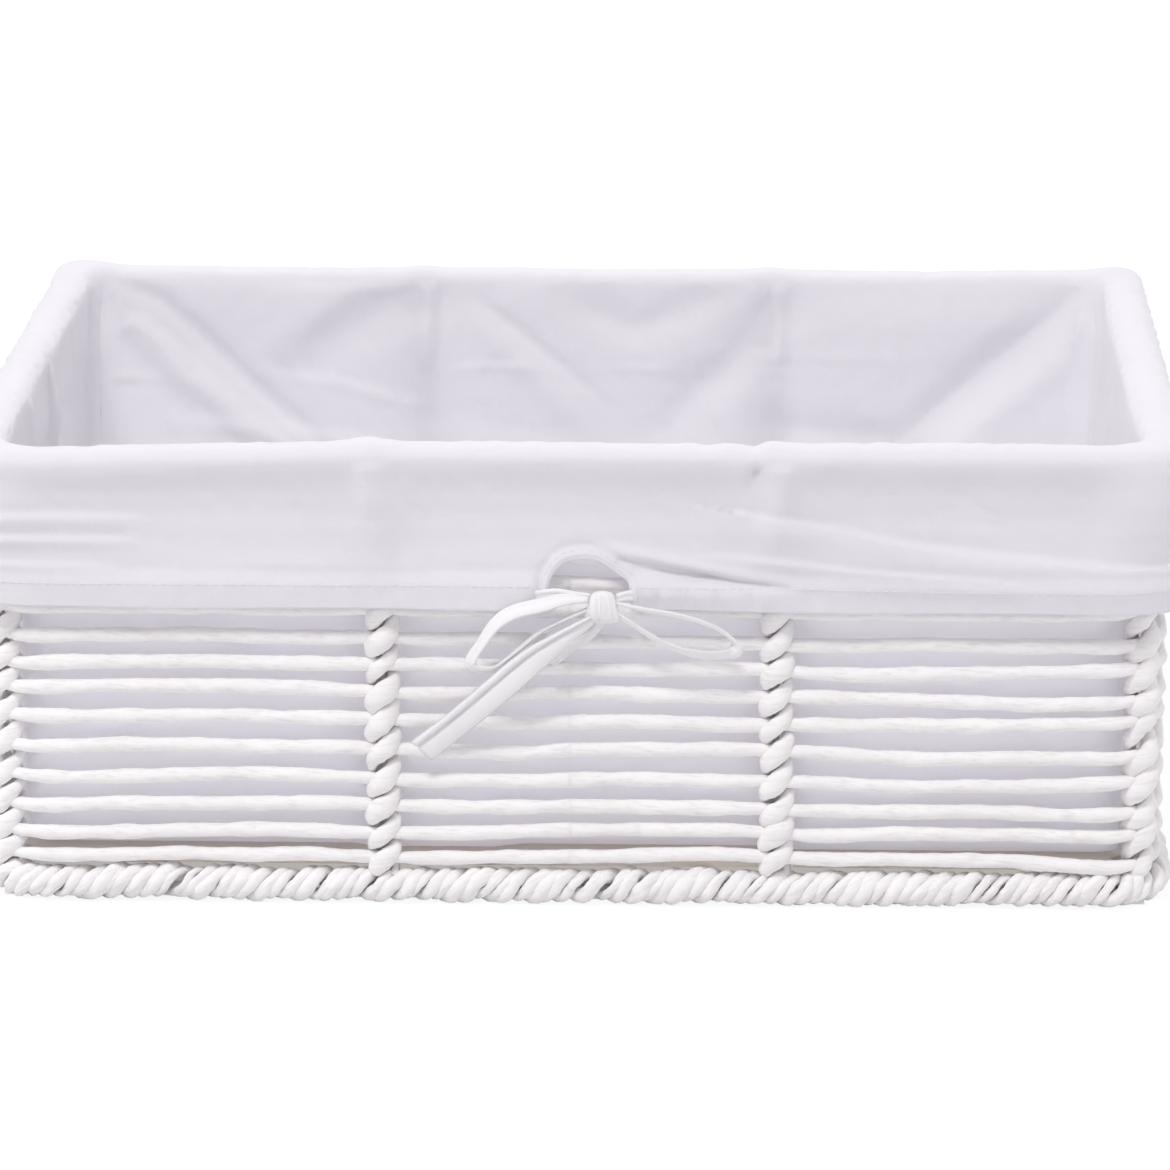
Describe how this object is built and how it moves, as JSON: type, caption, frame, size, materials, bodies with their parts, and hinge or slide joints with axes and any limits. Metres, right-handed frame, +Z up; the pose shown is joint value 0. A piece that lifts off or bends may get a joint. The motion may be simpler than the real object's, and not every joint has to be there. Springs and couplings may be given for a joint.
{
  "type": "paper storage basket",
  "caption": "Low rectangular open storage basket of twisted paper cord rows on a wire frame, with wrapped borders and a fold-over cotton liner tied by a drawstring bow.",
  "frame": {"origin": "on the floor under the middle of the basket", "axes": "+X along the long front side to the right, +Y from the front with the bow to the back, +Z up"},
  "size_m": [0.3898, 0.2917, 0.1519],
  "materials": {
    "paper_cord": "matt white twisted paper",
    "liner_cotton": "plain woven white cotton",
    "frame_wire": "white painted steel wire",
    "base_board": "brown fibreboard"
  },
  "bodies": {
    "basket": {"base_board": "base_board", "base_border": "paper_cord", "base_frame_wire": "frame_wire", "cord_row_01": "paper_cord", "cord_row_02": "paper_cord", "cord_row_03": "paper_cord", "cord_row_04": "paper_cord", "cord_row_05": "paper_cord", "cord_row_06": "paper_cord", "cord_row_07": "paper_cord", "cord_row_08": "paper_cord", "cord_row_09": "paper_cord", "cord_row_10": "paper_cord", "cord_row_11": "paper_cord", "cord_row_12": "paper_cord", "cord_row_13": "paper_cord", "cord_row_14": "paper_cord", "rim_border": "paper_cord", "rim_frame_wire": "frame_wire", "upright_back_left": "frame_wire", "upright_back_right": "frame_wire", "upright_corner_back_left": "frame_wire", "upright_corner_back_right": "frame_wire", "upright_corner_front_left": "frame_wire", "upright_corner_front_right": "frame_wire", "upright_front_left": "frame_wire", "upright_front_right": "frame_wire", "upright_left_side": "frame_wire", "upright_right_side": "frame_wire", "wrap_back_left": "paper_cord", "wrap_back_right": "paper_cord", "wrap_corner_back_left": "paper_cord", "wrap_corner_back_right": "paper_cord", "wrap_corner_front_left": "paper_cord", "wrap_corner_front_right": "paper_cord", "wrap_front_left": "paper_cord", "wrap_front_right": "paper_cord", "wrap_left_side": "paper_cord", "wrap_right_side": "paper_cord"},
    "liner": {"bow_knot": "liner_cotton", "bow_left_loop": "liner_cotton", "bow_long_tail": "liner_cotton", "bow_right_loop": "liner_cotton", "bow_short_tail": "liner_cotton", "drawstring": "liner_cotton", "liner_back_panel": "liner_cotton", "liner_bottom_panel": "liner_cotton", "liner_front_panel": "liner_cotton", "liner_left_panel": "liner_cotton", "liner_right_panel": "liner_cotton"}
  },
  "joints": [
    {"name": "liner_lift", "type": "slide", "parent": "basket", "child": "liner", "axis": [0, 0, 1], "range_m": [0, 0.16]}
  ]
}
